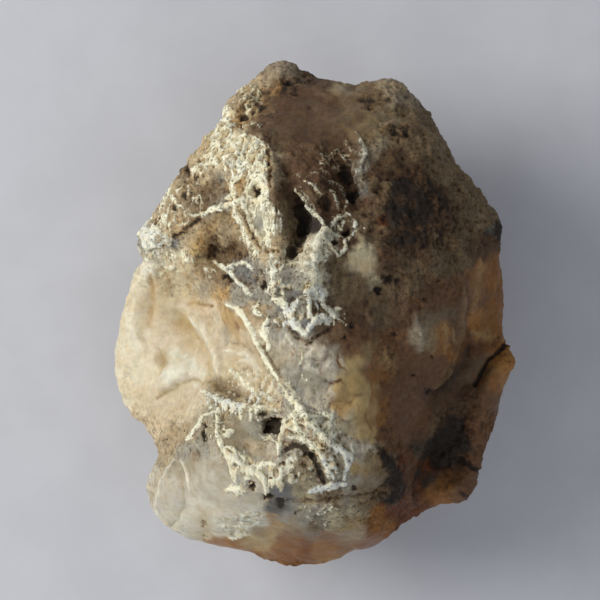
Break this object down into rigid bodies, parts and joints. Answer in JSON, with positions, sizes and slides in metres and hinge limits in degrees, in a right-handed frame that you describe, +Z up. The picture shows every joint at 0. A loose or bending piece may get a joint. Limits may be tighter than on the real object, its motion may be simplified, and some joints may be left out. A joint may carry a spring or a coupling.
{
  "type": "ventifact stone",
  "caption": "Wind-worn nodule of translucent chalcedony with a pitted, crusted face, resting on a small flat spot.",
  "frame": {"origin": "on the ground, below the middle of the stone's bounding box, with the stone lying on its back", "axes": "+Z up, out of the carved face; +Y along the longest extent, towards the crown; +X to the right of the face as it is looked down on"},
  "size_m": [0.08, 0.1, 0.061],
  "materials": {
    "chalcedony": "waxy, partly translucent chalcedony, cream to honey on the left and smoky brown on the right, with white fibrous crust and dark pits"
  },
  "bodies": {
    "root": {"stone": "chalcedony"}
  },
  "joints": []
}
